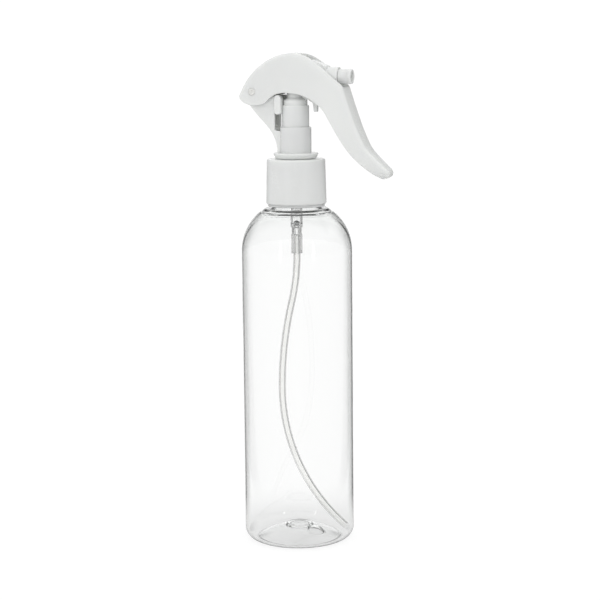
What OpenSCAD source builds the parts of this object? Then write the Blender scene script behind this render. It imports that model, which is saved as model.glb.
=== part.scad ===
/* [Bottle] */
// Outside diameter of the bottle's straight wall
bottle_d = 50; // [48:0.5:52]
// Height of the bottle to the top of its neck
bottle_h = 170.5; // [168:0.5:173]
// Wall thickness of the blown body
bottle_wall = 0.6; // [0.5:0.05:0.8]
// Radius of the rounded heel
heel_r = 5.5; // [5:0.25:6]
// Height at which the straight wall turns into the shoulder
shoulder_z = 133; // [131:0.5:134]
// Radius of the shoulder's arc
shoulder_r = 22.5; // [22:0.25:22.5]
// Height of the pushed-up base at its centre
push_up = 6; // [5:0.25:6.5]

/* [Neck and closure] */
// Diameter over the neck's thread
neck_thread_d = 23.9; // [23.6:0.05:24]
// Diameter of the neck at the root of its thread
neck_root_d = 21.8; // [21.6:0.05:22]
// Bore of the neck
neck_bore_d = 19.4; // [19.2:0.1:19.6]
// Rise of the thread in one turn
thread_pitch = 3.175; // [3.1:0.025:3.3]
// Diameter of the closure at its top
closure_top_d = 26.2; // [26:0.1:26.6]
// Diameter of the closure at its skirt
closure_skirt_d = 27.2; // [27:0.1:27.6]
// Height of the closure
closure_h = 21.2; // [21:0.1:21.4]

/* [Pump] */
// Outside diameter of the guide column
column_d = 14; // [13.9:0.05:14.1]
// Height of the column's rim above the standing surface
column_top_z = 188.4; // [188:0.1:188.4]
// Bore of the pump chamber
chamber_bore_d = 8; // [7.8:0.1:8.2]
// Outside diameter of the dip tube
tube_d = 3.2; // [3:0.1:3.2]
// Bore of the dip tube
tube_bore_d = 2; // [1.8:0.1:2.2]
// Angle from the spray direction to the plane in which the dip tube bends
tube_plane = 20; // [0:5:40]

/* [Head] */
// Place of the lever's pin behind the pump's axis
pin_x = -18.3; // [-18.4:0.05:-18.2]
// Height of the lever's pin
pin_z = 204.1; // [204:0.05:204.2]
// Diameter of the lever's pin
pin_d = 3.1; // [3:0.05:3.2]
// Width of the lever across its sides
lever_w = 13; // [12.8:0.1:13.2]
// Wall thickness of the lever
lever_wall = 1.5; // [1.4:0.05:1.6]
// Height of the nozzle's axis
nozzle_z = 210.6; // [210.4:0.1:210.8]
// Outside diameter of the nozzle tip
nozzle_d = 6.7; // [6.6:0.05:6.8]
// Distance from the pump's axis to the nozzle's front face
nozzle_x = 26.8; // [26.6:0.1:27]

/* [Hidden] */

$fn = 96;
tiny = 0.01;                        // overlap that fuses two shapes of one piece
press_gap = 0.02;                   // radial gap of a pressed joint
slide_gap = 0.05;                   // radial gap of a sliding fit

// heights of the neck and what is clamped on it
neck_z = bottle_h;                  // sealing face of the neck
ledge_z = 152.2;                    // flat ledge where shoulder and neck meet
gasket_h = 1;
flange_z = neck_z + gasket_h;       // underside of the housing's flange
flange_h = 1.2;
closure_plate = 1.5;
closure_top_z = flange_z + flange_h + 0.1 + closure_plate;
closure_hole_r = 8.3;

// thread, as an outline across its helix
thread_turns = 1.5;
thread_z = 160.7;                   // height at which the neck's thread starts
thread_steps = 24;                  // stations in one turn
thread_fade = 3;                    // stations over which it runs out

// pump
ring_z = closure_top_z + 0.15;      // underside of the column's collar
ring_h = 2.5;
column_z = ring_z + ring_h;         // floor of the column
column_bore_r = 6.35;
stem_r = 2;
stem_bore_r = 0.9;
chamber_z = 154.5;                  // floor of the chamber
piston_z = 165.2;
piston_h = 5.2;
barrel_r = 5;
throat_z = 144.8;                   // foot of the ball chamber
throat_r = 2.75;
ball_r = 1.5;
ball_room_r = 2;
ball_z = 146.4;                     // centre of the inlet ball at rest
inlet_r = 0.9;                      // passage below the ball
seat_h = 1.9;                       // conical seat between the passage and the ball
seat_r = ball_r + 0.19;             // its radius at the ball's centre
sleeve_z = 132.3;                   // lower end of the sleeve that holds the dip tube
sleeve_h = 8.7;
sleeve_r = 2.55;
guide_r = 6;                        // the stem guide where it sits in the housing
spigot_r = 7.2;                     // the housing's spigot that carries the column
spigot_h = 3.6;

// actuator
skirt_r = 6.1;
skirt_z = 184.4;
skirt_top_z = 198.1;
pad_z = 215;                        // face that the lever presses
rib_gap = 0.15;                     // between that face and the lever's rib
rib_x = 1;
rib_r = 1;
boss_r = 4.3;
boss_x = 20.7;
outlet_ball_r = 1;
stem_top_z = 199.4;

// dip tube, as arcs that follow each other without a kink
tube_top = sleeve_z + sleeve_h - 0.3;
tube_z = 131.5;                     // where the tube starts to bend
tube_r1 = 95;
tube_a1 = 13.5;
tube_r2 = 170;
tube_r3 = 88;
tube_a3 = 47.5;

// return spring
spring_r = 3.1;
spring_wire = 0.6;
spring_turns = 6;

// ---- curves ----

// points on a cubic curve, without its last point
function curve(p, n) = [for (i = [0 : n - 1]) let (t = i / n, s = 1 - t)
    s * s * s * p[0] + 3 * s * s * t * p[1] + 3 * s * t * t * p[2] + t * t * t * p[3]];

// points along a chain of cubic curves
function chain(curves, n) = [for (p = curves) each curve(p, n)];

function unit(v) = v / norm(v);

// four-sided faces as pairs of triangles
function split(quads) = [for (q = quads) each [[q[0], q[1], q[2]], [q[0], q[2], q[3]]]];

// an open line moved sideways by d, towards its right-hand side
function shifted(p, d) = [for (i = [0 : len(p) - 1])
    let (a = p[max(i - 1, 0)], b = p[min(i + 1, len(p) - 1)], t = unit(b - a))
    p[i] + d * [t[1], -t[0]]];

// back of the lever at its middle, from its rear end over the top to the tip of the trigger
lever_back = [
    [[-24.6, 202.6], [-21.2, 212.6], [-10.8, 221.25], [0.5, 221.25]],
    [[0.5, 221.25], [9, 221.25], [14.6, 213.9], [22.8, 207.6]],
    [[22.8, 207.6], [24.2, 206.5], [24.3, 205.2], [24.8, 203.6]],
    [[24.8, 203.6], [27.4, 196], [30.3, 186.8], [34, 180.3]],
    [[34, 180.3], [35.4, 177.8], [39.5, 174.2], [44, 169.9]],
    [[44, 169.9], [45.4, 168.5], [44.2, 166], [41.2, 165.8]]];

// its inner edge, from the tip under the arch to the rear end
lever_edge = [
    [[41.2, 165.8], [37.5, 167.3], [31.5, 171.8], [27, 176.8]],
    [[27, 176.8], [23.2, 181.2], [19.3, 188.3], [16, 194.2]],
    [[16, 194.2], [13.6, 198.3], [8, 202.2], [2, 203.2]],
    [[2, 203.2], [-2.5, 203.8], [-7.5, 204.5], [-11.6, 199.8]],
    [[-11.6, 199.8], [-13.2, 198], [-17, 198], [-19.8, 198.3]],
    [[-19.8, 198.3], [-22.6, 198.8], [-24.7, 200.6], [-24.6, 202.6]]];

// rear outline of the bracket, from the column to the pin's ear
bracket_back = [
    [[-7.2, column_z], [-7.2, 187.5], [-14.6, 190.2], [-20, 198]],
    [[-20, 198], [-21.6, 200.2], [-22, 202.5], [-21.6, 204.6]],
    [[-21.6, 204.6], [-20.9, 208.4], [-15.4, 208.6], [-14.4, 204.4]],
    [[-14.4, 204.4], [-13.6, 202.8], [-10.5, 203.3], [-8.4, 202.2]]];

// ---- shared shapes ----

// extrudes an outline drawn in x and z across the head, half to each side
module across(half) rotate([90, 0, 0]) linear_extrude(2 * half, center = true) children();

// a cylinder along the spray direction, on the nozzle's axis
module along(x0, x1, r) translate([x0, 0, nozzle_z]) rotate([0, 90, 0]) cylinder(x1 - x0, r, r);

// a ring about the pump's axis
module ring(z, h, r_out, r_in) translate([0, 0, z]) difference() {
    cylinder(h, r_out, r_out);
    translate([0, 0, -1]) cylinder(h + 2, r_in, r_in);
}

// one thread: a trapezium that climbs a helix and runs out at both ends
module thread(r_root, r_crest, z, turns, w_root, w_crest) {
    n = round(turns * thread_steps);
    rings = [for (i = [0 : n])
        let (a = 360 * i / thread_steps, h = z + thread_pitch * i / thread_steps,
             k = min(1, (min(i, n - i) + 0.4) / thread_fade), r = r_root + k * (r_crest - r_root))
        [for (q = [[r_root, -w_root], [r, -w_crest], [r, w_crest], [r_root, w_root]])
            [q[0] * cos(a), q[0] * sin(a), h + q[1] / 2]]];
    flip = r_crest < r_root;
    sides = [for (i = [0 : n - 1], j = [0 : 3]) let (a = 4 * i + j, b = 4 * i + (j + 1) % 4)
        [a, b, b + 4, a + 4]];
    faces = split(concat(sides, [[3, 2, 1, 0], [for (j = [0 : 3]) 4 * n + j]]));
    polyhedron([for (q = rings) each q], flip ? [for (f = faces) [f[2], f[1], f[0]]] : faces);
}

// stations along the dip tube: x, z and the angle of its run from straight down
function tube_stations() = let (
    c1 = [-tube_r1, tube_z],
    c2 = c1 + (tube_r1 + tube_r2) * [cos(tube_a1), -sin(tube_a1)],
    c3 = c2 + [tube_r3 - tube_r2, 0])
    concat([[0, tube_top, 0]],
           [for (i = [0 : 5]) tube_station(c1, -tube_r1, -tube_a1 * i / 6)],
           [for (i = [0 : 7]) tube_station(c2, tube_r2, tube_a1 * (i / 8 - 1))],
           [for (i = [0 : 14]) tube_station(c3, tube_r3, tube_a3 * i / 14)]);

function tube_station(centre, r, h) = [centre[0] - r * cos(h), centre[1] - r * sin(h), h];

// ---- bottle ----

dome_r = 36.5;                      // radius of the pushed-up base, underneath
base_wall = 0.9;
heel_wall = 0.7;
ledge_wall = 1.2;
lug = [8.6, -3.2, 2.6];             // centre of the small positioning dimple in the base
lug_r = 3.4;
lug_wall = 0.8;
disc_r = 4.3;                       // flat disc at the middle of the base, underneath
disc_rise = 0.35;
bead_z = ledge_z + 3;               // bead round the neck above the ledge
bead_h = 1.2;
bead_w = 0.7;
shoulder_in_r = shoulder_r - 2.1;   // smaller than the outer arc, so the wall thickens towards the neck

module bottle_outside() {
    r = bottle_d / 2;
    translate([0, heel_r]) square([r, shoulder_z - heel_r]);
    square([r - heel_r, heel_r + tiny]);
    translate([r - heel_r, heel_r]) circle(heel_r);
    intersection() {
        translate([r - shoulder_r, shoulder_z]) circle(shoulder_r);
        translate([0, shoulder_z - tiny]) square([r, ledge_z - shoulder_z + tiny]);
    }
    translate([0, shoulder_z]) square([neck_root_d / 2, bottle_h - shoulder_z]);
    translate([0, bead_z]) square([neck_root_d / 2 + bead_w, bead_h]);
}

module bottle_inside() {
    r = bottle_d / 2 - bottle_wall;
    inner_heel = heel_r - heel_wall;
    difference() {
        union() {
            translate([0, heel_r]) square([r, shoulder_z - heel_r]);
            translate([0, heel_wall]) square([r - inner_heel, heel_r]);
            translate([r - inner_heel, heel_r]) circle(inner_heel);
        }
        translate([0, push_up - base_wall - dome_r]) circle(dome_r + base_wall);
        square([disc_r + 1.7, push_up + disc_rise]);
    }
    intersection() {
        translate([r - shoulder_in_r, shoulder_z - 0.8]) circle(shoulder_in_r);
        translate([0, shoulder_z - tiny]) square([r, ledge_z - shoulder_z - ledge_wall]);
    }
    translate([0, shoulder_z]) square([neck_bore_d / 2, bottle_h]);
}

module bottle() color([0.93, 0.95, 0.94, 0.35]) difference() {
    union() {
        difference() {
            union() {
                rotate_extrude() difference() {
                    intersection() {
                        bottle_outside();
                        square([bottle_d, bottle_h]);
                    }
                    intersection() {
                        bottle_inside();
                        square([bottle_d, bottle_h + 1]);
                    }
                    intersection() {
                        translate([0, push_up - base_wall - dome_r]) circle(dome_r);
                        square([bottle_d, push_up]);
                    }
                    square([disc_r, push_up - base_wall + disc_rise]);
                }
                intersection() {
                    translate(lug) sphere(lug_r + lug_wall);
                    translate([0, 0, lug[2] + 0.4]) cylinder(8, 16, 16);
                }
            }
            translate(lug) sphere(lug_r);
        }
        thread(neck_root_d / 2 - 0.3, neck_thread_d / 2, thread_z, thread_turns, 2, 0.9);
    }
}

// ---- closure ----

module closure() color([0.86, 0.87, 0.86]) {
    z0 = closure_top_z - closure_h;
    skirt_in = neck_thread_d / 2 + 0.3;
    rim_r = closure_skirt_d / 2 - 0.8;
    rim_h = 0.8;
    edge = 0.4;
    difference() {
        union() {
            translate([0, 0, z0 + 2 * rim_h])
                cylinder(closure_h - 2 * rim_h - edge, closure_skirt_d / 2, closure_top_d / 2);
            translate([0, 0, z0 + rim_h]) cylinder(rim_h + tiny, rim_r, closure_skirt_d / 2);
            translate([0, 0, z0]) cylinder(rim_h + tiny, rim_r, rim_r);
            translate([0, 0, closure_top_z - edge])
                cylinder(edge, closure_top_d / 2, closure_top_d / 2 - edge);
        }
        translate([0, 0, z0 - 1]) cylinder(closure_h - closure_plate + 1, skirt_in, skirt_in);
        translate([0, 0, z0]) cylinder(closure_h + 1, closure_hole_r, closure_hole_r);
    }
    thread(skirt_in + 0.2, neck_root_d / 2 + 0.3, thread_z - 1.35, 1.25, 1.6, 0.7);
}

module gasket() color([0.95, 0.95, 0.93]) ring(neck_z, gasket_h, 10.6, barrel_r + 0.4);

// ---- pump, the parts that stay still ----

module pump_housing() color([0.93, 0.94, 0.92]) {
    bore = chamber_bore_d / 2;
    barrel_z = chamber_z - 1.6;
    sleeve_top_z = sleeve_z + sleeve_h;
    difference() {
        union() {
            ring(flange_z, flange_h, 10.7, bore);
            translate([0, 0, barrel_z]) cylinder(flange_z - barrel_z + tiny, barrel_r, barrel_r);
            translate([0, 0, barrel_z - 1.8]) cylinder(1.8 + tiny, throat_r, barrel_r);
            translate([0, 0, throat_z]) cylinder(chamber_z - throat_z, throat_r, throat_r);
            translate([0, 0, sleeve_top_z]) cylinder(throat_z - sleeve_top_z + tiny, 2.3, 2.3);
            translate([0, 0, sleeve_z]) cylinder(sleeve_h + tiny, sleeve_r, sleeve_r);
            ring(flange_z + flange_h - tiny, spigot_h, spigot_r, guide_r);
        }
        translate([0, 0, chamber_z]) cylinder(30, bore, bore);
        translate([0, 0, flange_z + 0.5]) cylinder(10, guide_r, guide_r);
        translate([0, 0, ball_z]) cylinder(chamber_z - ball_z + tiny, ball_room_r, ball_room_r);
        translate([0, 0, ball_z - seat_h]) cylinder(seat_h + tiny, inlet_r, seat_r);
        translate([0, 0, sleeve_z]) cylinder(ball_z - sleeve_z, inlet_r, inlet_r);
        translate([0, 0, sleeve_z - 1])
            cylinder(sleeve_h + 0.8, tube_d / 2 + press_gap, tube_d / 2 + press_gap);
    }
}

module stem_guide() color([0.94, 0.94, 0.92]) difference() {
    hub_r = 2.95;
    union() {
        translate([0, 0, flange_z + 0.5]) cylinder(4.2, guide_r - press_gap, guide_r - press_gap);
        translate([0, 0, flange_z + 0.5]) cylinder(column_z - flange_z + 1.2, hub_r, hub_r);
    }
    translate([0, 0, neck_z]) cylinder(20, stem_r + slide_gap, stem_r + slide_gap);
    translate([0, 0, flange_z + 2.2]) difference() {
        cylinder(10, guide_r - 1, guide_r - 1);
        cylinder(10, hub_r, hub_r);
    }
}

bracket_half = 4.6;                 // half width of the bracket behind the column
bracket_wall = 1.4;
bracket_x = -8.4;                   // its open front edge
bracket_foot_z = 187;
ear_r = 2.9;

module pump_body() color([0.87, 0.88, 0.87]) difference() {
    back = chain(bracket_back, 8);
    union() {
        translate([0, 0, ring_z]) cylinder(ring_h, 9.1, 10.3);
        translate([0, 0, flange_z + flange_h])
            cylinder(ring_z - flange_z - flange_h + tiny, spigot_r + 0.7, spigot_r + 0.7);
        translate([0, 0, ring_z]) cylinder(column_top_z - ring_z, column_d / 2, column_d / 2);
        difference() {
            across(bracket_half) polygon(concat(back, [[bracket_x, 202.2], [bracket_x, bracket_foot_z],
                                                       [-4, bracket_foot_z], [-4, column_z - 1]]));
            across(bracket_half - bracket_wall) polygon(concat(shifted(back, bracket_wall),
                [[-6, 203], [-6, bracket_foot_z], [-5.8, column_z]]));
        }
        translate([pin_x, 0, pin_z]) rotate([90, 0, 0])
            cylinder(2 * bracket_half, ear_r, ear_r, center = true);
    }
    translate([0, 0, column_z + 1.2]) cylinder(30, column_bore_r, column_bore_r);
    translate([0, 0, column_z - 5]) cylinder(10, 3, 3);
    translate([0, 0, flange_z])
        cylinder(column_z - flange_z - 0.3, spigot_r + press_gap, spigot_r + press_gap);
    translate([pin_x, 0, pin_z]) rotate([90, 0, 0])
        cylinder(20, pin_d / 2 + press_gap, pin_d / 2 + press_gap, center = true);
}

module hinge_pin() color([0.94, 0.94, 0.90]) translate([pin_x, 0, pin_z]) rotate([90, 0, 0])
    cylinder(lever_w, pin_d / 2, pin_d / 2, center = true);

module dip_tube() color([0.93, 0.94, 0.90]) rotate([0, 0, tube_plane]) {
    m = 12;                             // sides
    stations = tube_stations();
    n = len(stations) - 1;
    points = [for (q = stations, r = [tube_d / 2, tube_bore_d / 2], k = [0 : m - 1])
        let (b = 360 * k / m)
        [q[0] + r * cos(b) * cos(q[2]), r * sin(b), q[1] + r * cos(b) * sin(q[2])]];
    walls = [for (i = [0 : n - 1], k = [0 : m - 1]) let (a = 2 * m * i, k2 = (k + 1) % m)
        each [[a + k, a + k2, a + 2 * m + k2, a + 2 * m + k],
              [a + m + k2, a + m + k, a + 3 * m + k, a + 3 * m + k2]]];
    ends = [for (k = [0 : m - 1]) let (k2 = (k + 1) % m, e = 2 * m * n)
        each [[k2, k, m + k, m + k2], [e + k, e + k2, e + m + k2, e + m + k]]];
    polyhedron(points, split(concat(walls, ends)));
}

// ---- lever ----

// half of the lever's outline from the front, inset by d
function lever_front(d) = concat([[lever_w / 2 - d, 230], [lever_w / 2 - d, 193]],
    curve([[lever_w / 2 - d, 193], [6.3 - d, 183], [5.6 - d, 177], [5.2 - d, 172.5]], 6),
    curve([[5.2 - d, 172.5], [4.7 - d, 168], [2.6, 165.5 + d], [0, 165.5 + d]], 8));

module lever_front_slab(d) {
    right = lever_front(d);
    left = [for (i = [len(right) - 1 : -1 : 0]) [-right[i][0], right[i][1]]];
    rotate([90, 0, 90]) translate([0, 0, -40])
        linear_extrude(100) polygon(concat(right, [[0, 165.5 + d]], left));
}

module lever() color([0.90, 0.91, 0.90]) {
    back = chain(lever_back, 8);
    edge = chain(lever_edge, 8);
    inner = shifted(back, lever_wall + 0.1);
    steps = [[4.2, 0], [5.3, 0.4], [lever_w / 2, 1.1]];    // half width and drop of the crowned back
    difference() {
        intersection() {
            for (s = steps) across(s[0]) polygon(concat(shifted(back, s[1]), edge));
            lever_front_slab(0);
        }
        intersection() {
            across(lever_w / 2 - lever_wall) polygon(concat(
                [for (i = [0 : 36]) inner[i]],
                [[35, 166], [0, 180], [-26, 190], [-30, 201.6]]));
            lever_front_slab(lever_wall);
        }
        translate([4, -4.75, 206.2]) cube([30, 9.5, 20]);
        translate([pin_x, 0, pin_z]) rotate([90, 0, 0])
            cylinder(20, pin_d / 2 + slide_gap, pin_d / 2 + slide_gap, center = true);
    }
    // rib that presses the actuator
    rib_z = pad_z + rib_gap + rib_r;
    translate([rib_x, 0, rib_z]) rotate([90, 0, 0]) cylinder(lever_w - 2, rib_r, rib_r, center = true);
    translate([rib_x - rib_r, -lever_w / 2 + 1, rib_z]) cube([2 * rib_r, lever_w - 2, 219.6 - rib_z]);
}

// ---- actuator and what moves with it ----

module actuator() color([0.88, 0.89, 0.88]) difference() {
    union() {
        translate([0, 0, skirt_z]) cylinder(skirt_top_z - skirt_z, skirt_r, skirt_r);
        translate([0, 0, skirt_top_z - tiny]) cylinder(2.1, 5.4, 5.4);
        translate([0, 0, skirt_top_z + 2]) cylinder(1, 5.4, 4.4);
        translate([0, 0, skirt_top_z]) cylinder(12, 3.8, 3.8);
        along(0, boss_x, boss_r);
        across(3.5) polygon([[-3.6, 205], [-3.6, 213.8], [-2.6, pad_z], [4.6, pad_z], [7.2, 217.7],
                             [8.5, 218.1], [15.6, 215.2], [15.6, 207], [4.6, 207], [3.4, 205]]);
        across(1) polygon([[0, 199], [6, 200.6], [8.4, 199], [8.9, 195.1], [10.5, 195.1], [10.8, 208],
                           [0, 208]]);
        for (side = [-1, 1]) guide_lug(side);
    }
    translate([0, 0, skirt_z - 1]) difference() {
        cylinder(13, 5.2, 5.2);
        translate([0, 0, 5]) cylinder(13, 3.2, 3.2);
    }
    translate([0, 0, skirt_z]) cylinder(stem_top_z - skirt_z, stem_r + press_gap, stem_r + press_gap);
    translate([0, 0, skirt_z]) cylinder(stem_top_z - skirt_z + 3, 1.3, 1.3);
    translate([0, 0, skirt_z]) cylinder(nozzle_z - skirt_z, 0.9, 0.9);
    along(-0.9, boss_x, 0.9);
    along(13, boss_x + 1, 2.7 + press_gap);
}

// upright capsule on the side of the skirt that runs along the bracket's front edge
module guide_lug(side) {
    r = 1.55;
    low = 195.65;
    high = 201.1;
    depth = 4.2;
    translate([-6.45, side > 0 ? 2 : -2 - depth, 0]) {
        for (z = [low, high]) translate([0, depth, z]) rotate([90, 0, 0]) cylinder(depth, r, r);
        translate([-r, 0, low]) cube([2 * r, depth, high - low]);
    }
}

module nozzle_tip() color([0.88, 0.89, 0.88]) difference() {
    union() {
        along(boss_x, nozzle_x, nozzle_d / 2);
        along(13.4, boss_x + tiny, 2.7);
    }
    along(13, nozzle_x - 1, 1.9);
    along(nozzle_x - 3.2, nozzle_x + 1, 2.5);
}

module orifice_cup() color([0.80, 0.81, 0.79]) difference() {
    along(nozzle_x - 3.2, nozzle_x - 0.6, 2.5 - press_gap);
    along(nozzle_x - 3.3, nozzle_x - 1.6, 1.5);
    along(nozzle_x - 4, nozzle_x, 0.25);
    along(nozzle_x - 1.1, nozzle_x, 0.7);
}

module swirl_plug() color([0.90, 0.90, 0.88]) difference() {
    union() {
        along(14, nozzle_x - 3.25, 1.9 - press_gap);
        along(nozzle_x - 3.3, nozzle_x - 1.65, 1.5 - press_gap);
    }
    for (a = [0 : 90 : 270]) translate([0, 0, nozzle_z]) rotate([a, 0, 0])
        translate([13, -0.3, 1.3]) cube([nozzle_x - 13, 0.6, 1]);
}

module stem() color([0.93, 0.93, 0.91]) difference() {
    translate([0, 0, piston_z + 1]) cylinder(stem_top_z - piston_z - 1, stem_r, stem_r);
    translate([0, 0, piston_z + 2.4]) cylinder(40, stem_bore_r, stem_bore_r);
    translate([0, 0, piston_z + 2.6]) rotate([90, 0, 0]) cylinder(10, 0.5, 0.5, center = true);
}

module piston() color([0.95, 0.95, 0.93]) difference() {
    r = chamber_bore_d / 2 - slide_gap;
    union() {
        ring(piston_z, 1.4, r, 2.9);
        ring(piston_z + 1, 2.9, 2.9, 1);
        ring(piston_z + piston_h - 1.6, 1.6, r, 2.9);
        ring(piston_z + 1.2, piston_h - 1.2, 3.4, stem_r + press_gap);
        translate([0, 0, piston_z + 0.4]) cylinder(0.6 + tiny, 3.4, 3.4);
    }
    translate([0, 0, piston_z + 1]) cylinder(2.9, stem_r + press_gap, stem_r + press_gap);
}

module return_spring() color([0.72, 0.73, 0.74]) {
    n = spring_turns * 16;
    z0 = chamber_z + spring_wire / 2 + 0.05;
    rise = piston_z - chamber_z - spring_wire - 0.1;
    rings = [for (i = [0 : n])
        let (a = 360 * i / 16, t = i / n)
        [for (j = [0 : 7]) let (b = 45 * j, r = spring_r + spring_wire / 2 * cos(b))
            [r * cos(a), r * sin(a), z0 + rise * t + spring_wire / 2 * sin(b)]]];
    sides = [for (i = [0 : n - 1], j = [0 : 7]) let (a = 8 * i + j, b = 8 * i + (j + 1) % 8)
        [a, a + 8, b + 8, b]];
    ends = [[for (j = [0 : 7]) j], [for (j = [7 : -1 : 0]) 8 * n + j]];
    polyhedron([for (q = rings) each q], concat(split(sides), ends));
}

module inlet_ball() color([0.55, 0.56, 0.57]) translate([0, 0, ball_z]) sphere(ball_r);

module outlet_ball() color([0.55, 0.56, 0.57]) translate([0, 0, stem_top_z + outlet_ball_r])
    sphere(outlet_ball_r);

bottle();
closure();
gasket();
pump_housing();
stem_guide();
pump_body();
hinge_pin();
dip_tube();
lever();
actuator();
nozzle_tip();
orifice_cup();
swirl_plug();
stem();
piston();
return_spring();
inlet_ball();
outlet_ball();
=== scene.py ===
"""Looks of a clear PET bottle with a white lever-operated mist sprayer.

Shapes are worked out in millimetres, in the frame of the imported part: X is the spray direction, Z is up,
and the origin is the centre of the ring the bottle stands on. Meshes are written in metres.
"""

import math

import bmesh
import bpy
import numpy as np
from mathutils import Matrix, Quaternion, Vector


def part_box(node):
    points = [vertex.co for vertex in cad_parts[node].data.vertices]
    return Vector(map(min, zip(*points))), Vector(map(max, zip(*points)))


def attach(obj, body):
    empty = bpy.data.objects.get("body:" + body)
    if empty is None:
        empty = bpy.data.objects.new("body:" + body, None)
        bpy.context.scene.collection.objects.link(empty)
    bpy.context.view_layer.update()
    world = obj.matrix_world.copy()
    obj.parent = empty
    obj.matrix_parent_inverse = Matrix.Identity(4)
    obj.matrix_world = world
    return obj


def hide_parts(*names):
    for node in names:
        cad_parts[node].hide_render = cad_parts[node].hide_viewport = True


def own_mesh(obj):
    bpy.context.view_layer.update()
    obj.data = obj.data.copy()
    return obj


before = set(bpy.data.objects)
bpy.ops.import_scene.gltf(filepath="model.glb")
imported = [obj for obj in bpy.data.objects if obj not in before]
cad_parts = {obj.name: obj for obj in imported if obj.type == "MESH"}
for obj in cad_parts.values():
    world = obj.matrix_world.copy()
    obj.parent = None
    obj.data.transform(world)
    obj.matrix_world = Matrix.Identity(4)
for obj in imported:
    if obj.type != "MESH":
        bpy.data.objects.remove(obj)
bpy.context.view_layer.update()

MM = 0.001
TINY = 1e-6


# ---- numbers taken from the frame -------------------------------------------------------------------


def low(node):
    """Lowest corner of a CAD node, in millimetres."""
    return np.array(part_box(node)[0]) / MM


def high(node):
    """Highest corner of a CAD node, in millimetres."""
    return np.array(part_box(node)[1]) / MM


BOTTLE_R = high("bottle")[0]
NECK_TOP = high("bottle")[2]
CLOSURE_LOW, CLOSURE_TOP = low("closure")[2], high("closure")[2]
CLOSURE_R = high("closure")[0]
COLLAR_LOW = CLOSURE_TOP + 0.15
COLUMN_Z = COLLAR_LOW + 2.5
COLUMN_TOP = 188.4
PIN_X = (low("hinge_pin")[0] + high("hinge_pin")[0]) / 2
PIN_Z = (low("hinge_pin")[2] + high("hinge_pin")[2]) / 2
PIN_R = high("hinge_pin")[0] - PIN_X
NOZZLE_Z = (low("nozzle_tip")[2] + high("nozzle_tip")[2]) / 2
NOZZLE_X = high("nozzle_tip")[0]
NOZZLE_R = high("nozzle_tip")[2] - NOZZLE_Z
LEVER_HALF = high("lever")[1]
SKIRT_Z = low("actuator")[2]
SPRING_LOW, SPRING_TOP = low("return_spring")[2], high("return_spring")[2]


# ---- outlines ---------------------------------------------------------------------------------------


def unit(v):
    """Vectors along the last axis, scaled to length one."""
    return v / np.maximum(np.linalg.norm(v, axis=-1, keepdims=True), 1e-12)


def rounded(corners, closed=True, steps=5):
    """An outline through corners (a, b, r). Each corner gives way to the arc of radius r that touches both
    of its sides: the arc's centre lies on the bisector, r / sin(half the angle) from the corner."""
    painted_shade_near = np.array([tuple(c) + (0,) * (3 - len(c)) for c in corners], float)
    p, r = painted_shade_near[:, :2], painted_shade_near[:, 2:]
    if not closed:
        r[[0, -1]] = 0
    a, b = unit(np.roll(p, 1, 0) - p), unit(np.roll(p, -1, 0) - p)
    half = 0.5 * np.arccos(np.clip((a * b).sum(1, keepdims=True), -1, 1))
    half = np.maximum(half, 0.01)
    centre = p + unit(a + b) * r / np.sin(half)
    start, end = p + a * r / np.tan(half) - centre, p + b * r / np.tan(half) - centre
    turn = np.maximum(math.pi - 2 * half, 1e-4)[:, None]
    t = np.linspace(0, 1, steps + 1)[None, :, None]
    arc = (np.sin((1 - t) * turn) * start[:, None] + np.sin(t * turn) * end[:, None]) / np.sin(turn)
    line = (centre[:, None] + arc).reshape(-1, 2)
    step = np.linalg.norm(line - np.roll(line, 1, 0), axis=1)
    keep = step > 1e-4
    if not closed:
        keep[0] = True
    return line[keep]


def divided(line, step, closed=False):
    """The same line with points added, so that no run between two points is longer than step."""
    if closed:
        return divided(np.vstack([line, line[:1]]), step)[:-1]
    run = np.linalg.norm(np.diff(line, axis=0), axis=1)
    count = np.maximum(np.ceil(run / step).astype(int), 1)
    where = np.repeat(np.arange(len(run)), count)
    first = np.repeat(np.cumsum(count) - count, count)
    t = ((np.arange(count.sum()) - first) / np.repeat(count, count))[:, None]
    return np.vstack([line[where] * (1 - t) + line[where + 1] * t, line[-1:]])


def arc_line(centre, r, start, end, count):
    """Points on a circle from one angle to another, in degrees."""
    a = np.radians(np.linspace(start, end, count))
    return np.stack([centre[0] + r * np.cos(a), centre[1] + r * np.sin(a)], axis=1)


def cubic(curves, t):
    """Points on a chain of cubic curves at parameters t, where curve k runs from k to k + 1."""
    p = np.array(curves, float)
    k = np.clip(np.floor(t).astype(int), 0, len(p) - 1)
    u = (t - k)[:, None]
    s = 1 - u
    return s**3 * p[k, 0] + 3 * s * s * u * p[k, 1] + 3 * s * u * u * p[k, 2] + u**3 * p[k, 3]


def drawn_in(outline, d):
    """A counterclockwise outline moved inwards by d, along the normal at each point."""
    t = unit(np.roll(outline, -1, 0) - np.roll(outline, 1, 0))
    return outline + d * np.stack([-t[:, 1], t[:, 0]], axis=1)


def beside(line, d):
    """An open line moved by d to its right-hand side, along the normal at each point."""
    t = unit(np.gradient(line, axis=0))
    return line + d * np.stack([t[:, 1], -t[:, 0]], axis=1)


# ---- solids: (points, list of face arrays) ----------------------------------------------------------


def grid_faces(rows, cols, wrap_rows=False, wrap_cols=True):
    """The four-sided faces of a grid of rows x cols points, numbered row by row."""
    i = np.arange(rows if wrap_rows else rows - 1)[:, None]
    j = np.arange(cols if wrap_cols else cols - 1)[None, :]
    i2, j2 = (i + 1) % rows, (j + 1) % cols
    return np.stack([i * cols + j, i2 * cols + j, i2 * cols + j2, i * cols + j2], axis=-1).reshape(-1, 4)


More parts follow.
